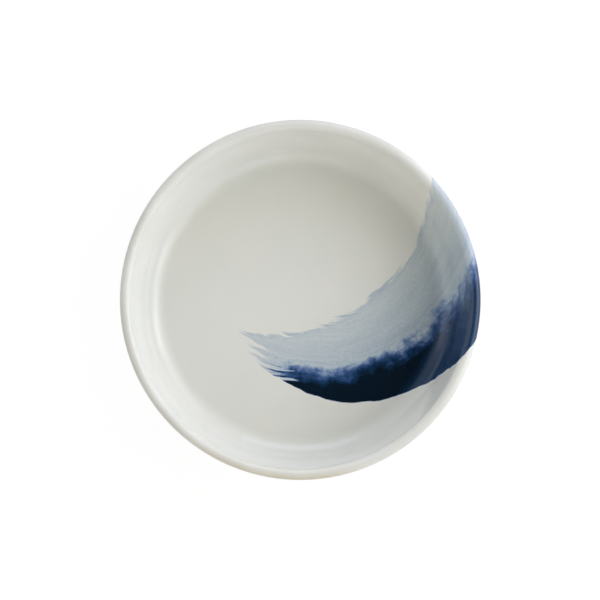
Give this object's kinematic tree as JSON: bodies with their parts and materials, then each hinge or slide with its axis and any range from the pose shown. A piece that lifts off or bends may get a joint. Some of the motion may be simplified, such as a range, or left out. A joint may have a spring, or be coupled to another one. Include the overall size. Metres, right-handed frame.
{
  "type": "soy sauce dish",
  "caption": "Small round dish with straight leaning walls, a rounded rim and a low foot ring, with a brushed dark blue sweep and pale wash under clear glaze.",
  "frame": {"origin": "centre of the foot face, on the table", "axes": "+Z up along the dish's axis; seen from above +X runs right, towards the end of the brushed sweep that goes over the rim, and +Y runs up"},
  "size_m": [0.095, 0.095, 0.024],
  "materials": {
    "fired_clay": "bare biscuit surface, sponged",
    "indigo_colour": "brushed colour, soft feathered inner edge",
    "wash_colour": "thin brushed wash, faintly granulated",
    "glaze": "clear gloss",
    "under_glaze": "clear gloss"
  },
  "bodies": {
    "root": {"clay_body": "fired_clay", "indigo_sweep": "indigo_colour", "pale_wash": "wash_colour", "glaze_coat": "glaze", "base_glaze": "under_glaze"}
  },
  "joints": []
}
